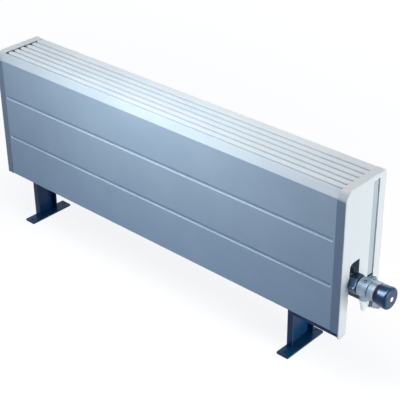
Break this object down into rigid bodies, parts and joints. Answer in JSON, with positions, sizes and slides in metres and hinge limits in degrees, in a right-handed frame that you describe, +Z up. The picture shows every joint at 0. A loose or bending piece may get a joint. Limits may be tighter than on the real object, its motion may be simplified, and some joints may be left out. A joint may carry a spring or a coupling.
{
  "type": "convector radiator",
  "caption": "Low freestanding convector radiator: folded steel casing with a bar grille, moulded end caps, finned water element, thermostatic valve set and flat-based steel feet.",
  "frame": {"origin": "on the floor, at the centre of the four holes that fix the feet", "axes": "+X along the casing towards the valve end, +Y from the front panel to the back, +Z up"},
  "size_m": [1.0886, 0.1296, 0.441],
  "materials": {
    "enamel": "satin",
    "cap_moulding": "satin",
    "foot_enamel": "gloss",
    "zinc_steel": "satin",
    "fin_aluminium": "satin",
    "tube_copper": "satin",
    "brass": "satin",
    "satin_nickel": "satin",
    "seal_rubber": "matt",
    "head_dark": "gloss",
    "white_plastic": "gloss",
    "pale_plastic": "satin",
    "strip_plastic": "satin"
  },
  "bodies": {
    "casing": {"back_panel": "enamel", "bracket_screws": "zinc_steel", "cap_screws": "zinc_steel", "drain_plug": "brass", "element_bracket_left": "zinc_steel", "element_bracket_right": "zinc_steel", "end_cap_left": "cap_moulding", "end_cap_right": "cap_moulding", "fins": "fin_aluminium", "flow_connector": "brass", "flow_gasket": "seal_rubber", "flow_insert": "brass", "flow_tail": "pale_plastic", "flow_tailpiece": "satin_nickel", "flow_tube": "tube_copper", "flow_union_nut": "satin_nickel", "flow_valve_body": "satin_nickel", "foot_bolts": "zinc_steel", "foot_left": "foot_enamel", "foot_nuts": "zinc_steel", "foot_right": "foot_enamel", "front_panel": "enamel", "grille_bars": "enamel", "grille_supports": "zinc_steel", "head_base": "head_dark", "head_nut": "satin_nickel", "left_header": "brass", "lower_stay": "foot_enamel", "pipe_olive": "brass", "return_connector": "brass", "return_gasket": "seal_rubber", "return_pipe_nut": "satin_nickel", "return_tailpiece": "satin_nickel", "return_tube": "tube_copper", "return_union_nut": "satin_nickel", "return_valve_body": "satin_nickel", "side_strip_left": "strip_plastic", "side_strip_right": "strip_plastic", "tube_grommets": "seal_rubber", "vent_body": "brass"},
    "knob": {"head_knob": "head_dark", "knob_cap": "white_plastic"},
    "valve_stem": {"head_capsule": "satin_nickel", "valve_pin": "satin_nickel", "valve_disc": "brass"},
    "return_stop": {"return_disc": "brass"},
    "return_wheel": {"return_spindle": "brass", "return_cap": "satin_nickel"},
    "bleed_screw": {"vent_screw": "brass"}
  },
  "joints": [
    {"name": "knob_turn", "type": "hinge", "parent": "casing", "child": "knob", "pos_m": [0.627, -0.025, 0.231], "axis": [-1, 0, 0], "range_deg": [0, 300]},
    {"name": "valve_stem_slide", "type": "slide", "parent": "casing", "child": "valve_stem", "axis": [-1, 0, 0], "range_m": [0, 0.0025]},
    {"name": "return_stop_slide", "type": "slide", "parent": "casing", "child": "return_stop", "axis": [-1, 0, 0], "range_m": [0, 0.003]},
    {"name": "return_wheel_turn", "type": "hinge", "parent": "casing", "child": "return_wheel", "pos_m": [0.585, 0.025, 0.202], "axis": [-1, 0, 0], "range_deg": [0, 1080]},
    {"name": "bleed_turn", "type": "hinge", "parent": "casing", "child": "bleed_screw", "pos_m": [-0.443, -0.025, 0.26], "axis": [0, 0, 1], "range_deg": [0, 360]}
  ],
  "couplings": [
    {"joint": "valve_stem_slide", "follows": "knob_turn", "m_per_rad": 0.000477},
    {"joint": "return_stop_slide", "follows": "return_wheel_turn", "m_per_rad": 0.000159}
  ]
}
